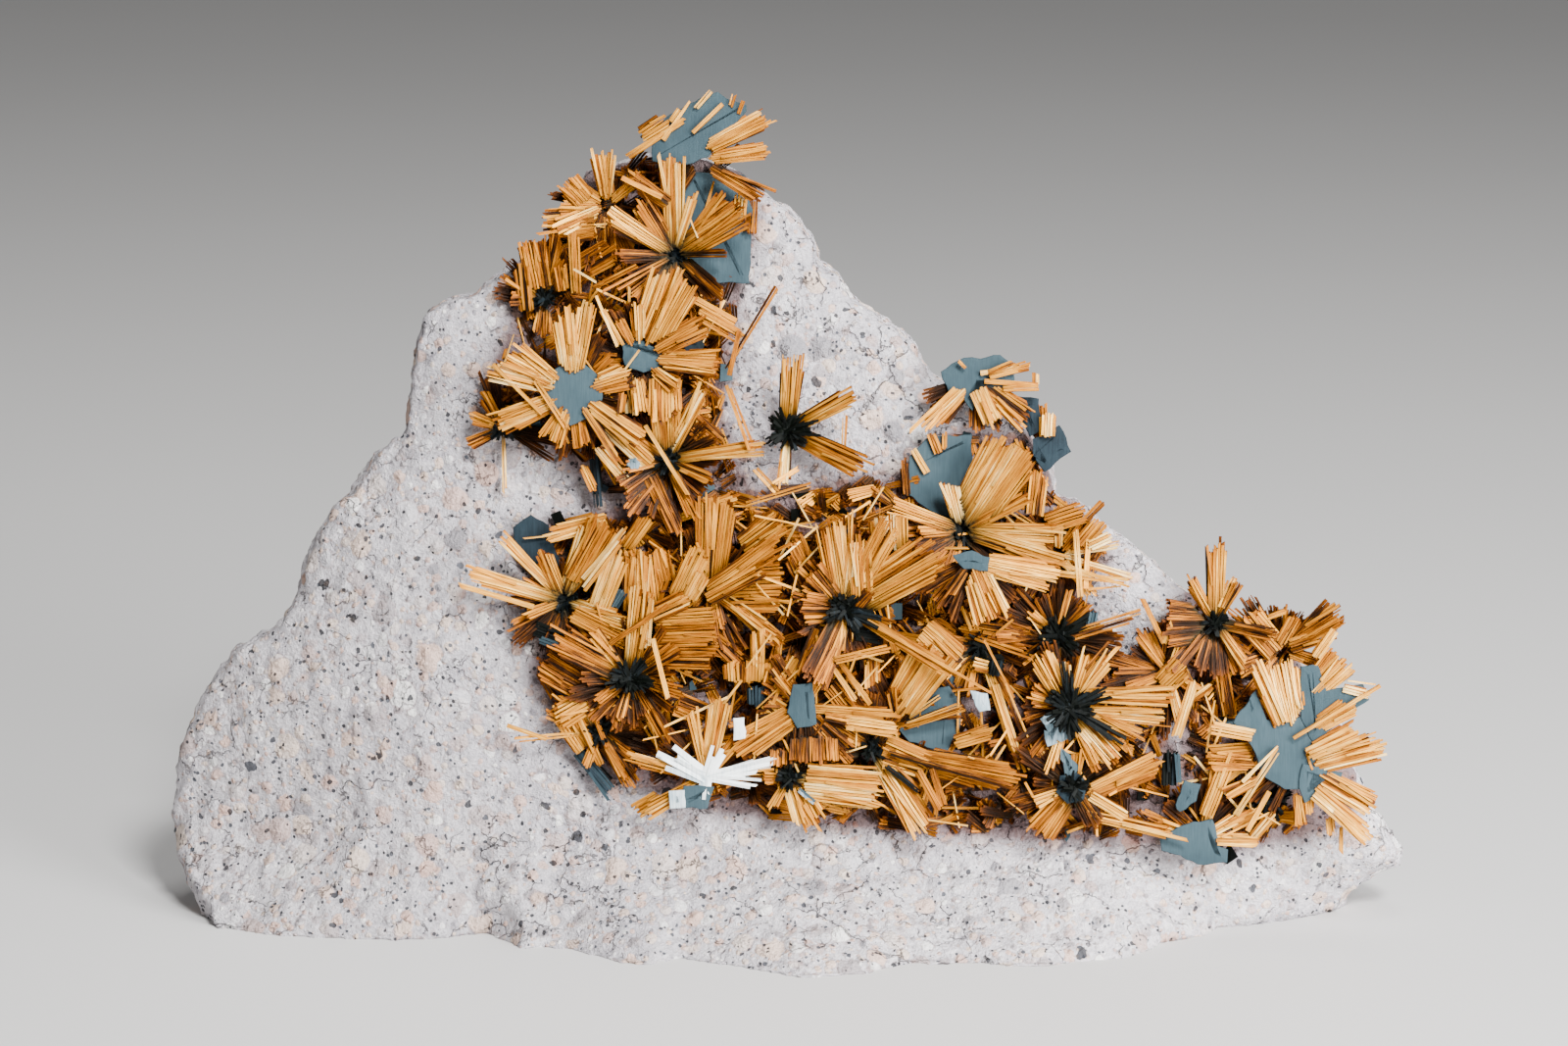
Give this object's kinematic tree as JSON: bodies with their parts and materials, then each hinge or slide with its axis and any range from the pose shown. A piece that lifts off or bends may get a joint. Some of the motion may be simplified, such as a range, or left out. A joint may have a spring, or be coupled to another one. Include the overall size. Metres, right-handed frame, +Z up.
{
  "type": "rutile on hematite mineral specimen",
  "caption": "Broken slab of pale tuff standing on its flat base, its face covered with golden star-shaped rutile crystal sprays on grey hematite plates.",
  "frame": {"origin": "on the flat base, under the middle of the crystal face", "axes": "+X to the right along the crystal face, -Y towards the viewer, +Z up"},
  "size_m": [0.1282, 0.0479, 0.0843],
  "materials": {
    "tuff": "matte",
    "hematite": "gloss",
    "rutile": "satin"
  },
  "bodies": {
    "root": {"hematite_01_crown": "hematite", "hematite_02_summit": "hematite", "hematite_06_sheet": "hematite", "hematite_08_wheel": "hematite", "hematite_11_lone": "hematite", "hematite_12_right_crest": "hematite", "hematite_13_right_notch": "hematite", "hematite_14_great_fan": "hematite", "hematite_15_under_fan": "hematite", "hematite_17_heart": "hematite", "hematite_20_spear": "hematite", "hematite_21_lower_left": "hematite", "hematite_24_white_plates": "hematite", "hematite_25_blue_cube": "hematite", "hematite_28_grey_plate": "hematite", "hematite_31_pyramid": "hematite", "hematite_32_black_cross": "hematite", "hematite_33_foot_right": "hematite", "hematite_36_great_plate": "hematite", "hematite_37_corner": "hematite", "hematite_38_black_rosette": "hematite", "rutile_01_crown": "rutile", "rutile_02_summit": "rutile", "rutile_03_shoulder": "rutile", "rutile_05_left_comb": "rutile", "rutile_06_sheet": "rutile", "rutile_08_wheel": "rutile", "rutile_09_under_wheel": "rutile", "rutile_10_left_edge": "rutile", "rutile_11_lone": "rutile", "rutile_12_right_crest": "rutile", "rutile_13_right_notch": "rutile", "rutile_14_great_fan": "rutile", "rutile_15_under_fan": "rutile", "rutile_16_right_splinters": "rutile", "rutile_17_heart": "rutile", "rutile_19_middle_fan": "rutile", "rutile_20_spear": "rutile", "rutile_21_lower_left": "rutile", "rutile_22_brown_comb": "rutile", "rutile_23_foot_left": "rutile", "rutile_24_white_plates": "rutile", "rutile_25_blue_cube": "rutile", "rutile_26_foot_middle": "rutile", "rutile_27_foot_fan": "rutile", "rutile_28_grey_plate": "rutile", "rutile_29_gap_blades": "rutile", "rutile_31_pyramid": "rutile", "rutile_32_black_cross": "rutile", "rutile_33_foot_right": "rutile", "rutile_34_tower": "rutile", "rutile_35_edge_comb": "rutile", "rutile_36_great_plate": "rutile", "rutile_37_corner": "rutile", "rutile_39_small_disc": "rutile", "tuff_matrix": "tuff"}
  },
  "joints": []
}
